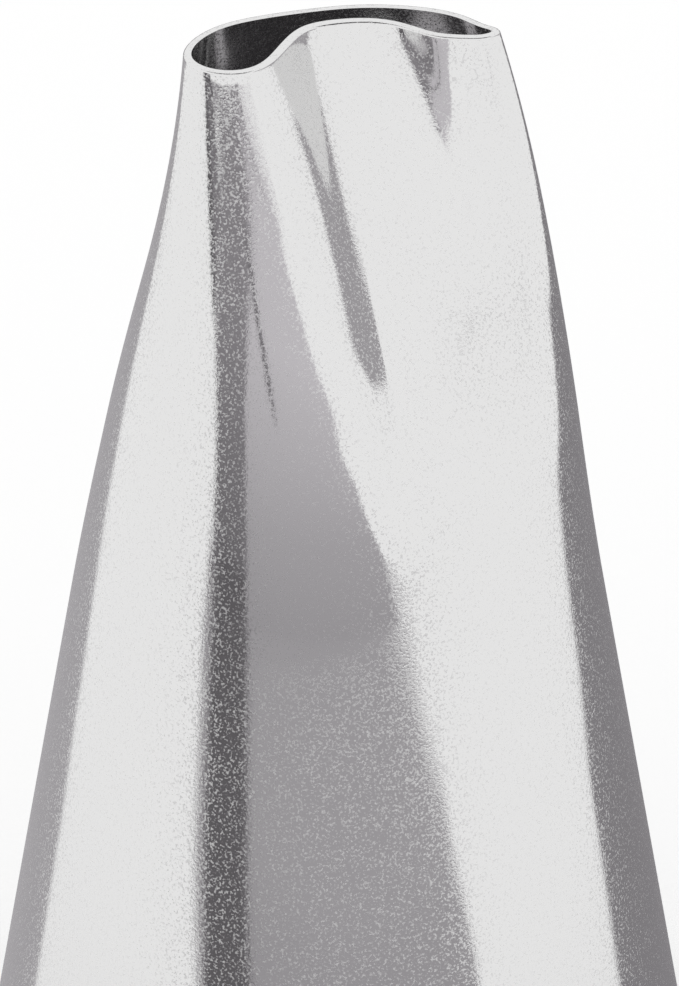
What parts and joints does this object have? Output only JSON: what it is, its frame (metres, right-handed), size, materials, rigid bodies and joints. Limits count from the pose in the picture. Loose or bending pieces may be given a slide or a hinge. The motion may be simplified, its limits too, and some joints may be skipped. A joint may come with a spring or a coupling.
{
  "type": "piping_nozzle",
  "caption": "Curved petal piping nozzle: a seamless stainless cone pressed to a comma-shaped slot at the tip, with a rolled edge round the base.",
  "frame": {"origin": "centre of the base, on the surface the rolled edge stands on", "axes": "+Z from the base to the tip; +X along the slot to its pointed end; the dished side of the slot faces -Y"},
  "size_m": [0.0344, 0.0344, 0.055],
  "materials": {
    "steel": "satin"
  },
  "bodies": {
    "root": {"nozzle_shell": "steel"}
  },
  "joints": []
}
